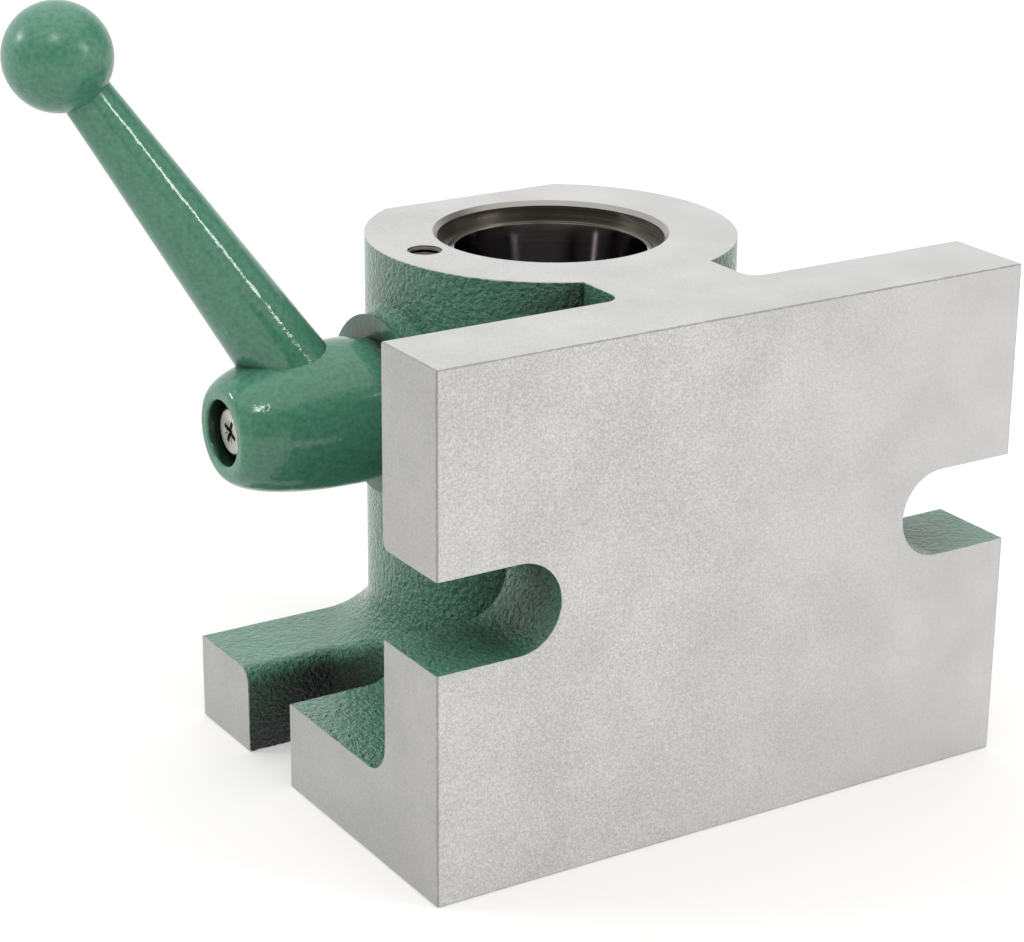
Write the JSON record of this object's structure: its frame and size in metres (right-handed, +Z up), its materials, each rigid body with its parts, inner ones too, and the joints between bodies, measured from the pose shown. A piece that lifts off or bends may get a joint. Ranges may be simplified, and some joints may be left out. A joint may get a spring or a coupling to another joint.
{
  "type": "collet fixture",
  "caption": "Upright cast iron fixture that holds a 5C collet, with a ball lever that closes it, a ground front plate and base, and open bolt slots in both.",
  "frame": {"origin": "on the collet's axis, in the plane of the base", "axes": "+Z up along the collet's axis, -Y towards the front plate, -X towards the lever"},
  "size_m": [0.1674, 0.0948, 0.1508],
  "materials": {
    "cast_iron_body": "ground working faces, green enamel on cast faces",
    "green_enamel": "gloss enamel on cast iron",
    "turned_steel": "turned",
    "hardened_steel": "hardened and ground",
    "plated_steel": "zinc plated",
    "black_steel": "black oxide",
    "spring_steel": "phosphated",
    "bronze": "turned bronze",
    "brass": "turned brass"
  },
  "bodies": {
    "fixture": {"body": "cast_iron_body", "shaft_bush": "bronze", "shaft_set_screw": "black_steel", "collet_key_screw": "black_steel", "key_lock_screw": "black_steel", "upper_thrust_washer": "bronze", "lower_thrust_washer": "bronze", "retaining_ring": "spring_steel", "ring_lock_screw": "black_steel", "ring_lock_pad": "brass"},
    "lever": {"lever": "green_enamel", "cam_shaft": "turned_steel", "eccentric_pin": "hardened_steel", "lever_key": "turned_steel", "lever_screw": "plated_steel", "lever_spring_washer": "plated_steel"},
    "sleeve": {"closing_sleeve": "hardened_steel"},
    "ring": {"adjusting_ring": "turned_steel"}
  },
  "joints": [
    {"name": "lever_swing", "type": "hinge", "parent": "fixture", "child": "lever", "pos_m": [-0.0393, 0, 0.071], "axis": [1, 0, 0], "range_deg": [-20, 70]},
    {"name": "sleeve_lift", "type": "slide", "parent": "fixture", "child": "sleeve", "axis": [0, 0, 1], "range_m": [-0.0005, 0.0017]},
    {"name": "ring_turn", "type": "hinge", "parent": "fixture", "child": "ring", "pos_m": [0, 0, 0.02395], "axis": [0, 0, 1], "continuous": true}
  ],
  "couplings": [
    {"joint": "sleeve_lift", "follows": "lever_swing", "m_per_rad": 0.001387}
  ]
}
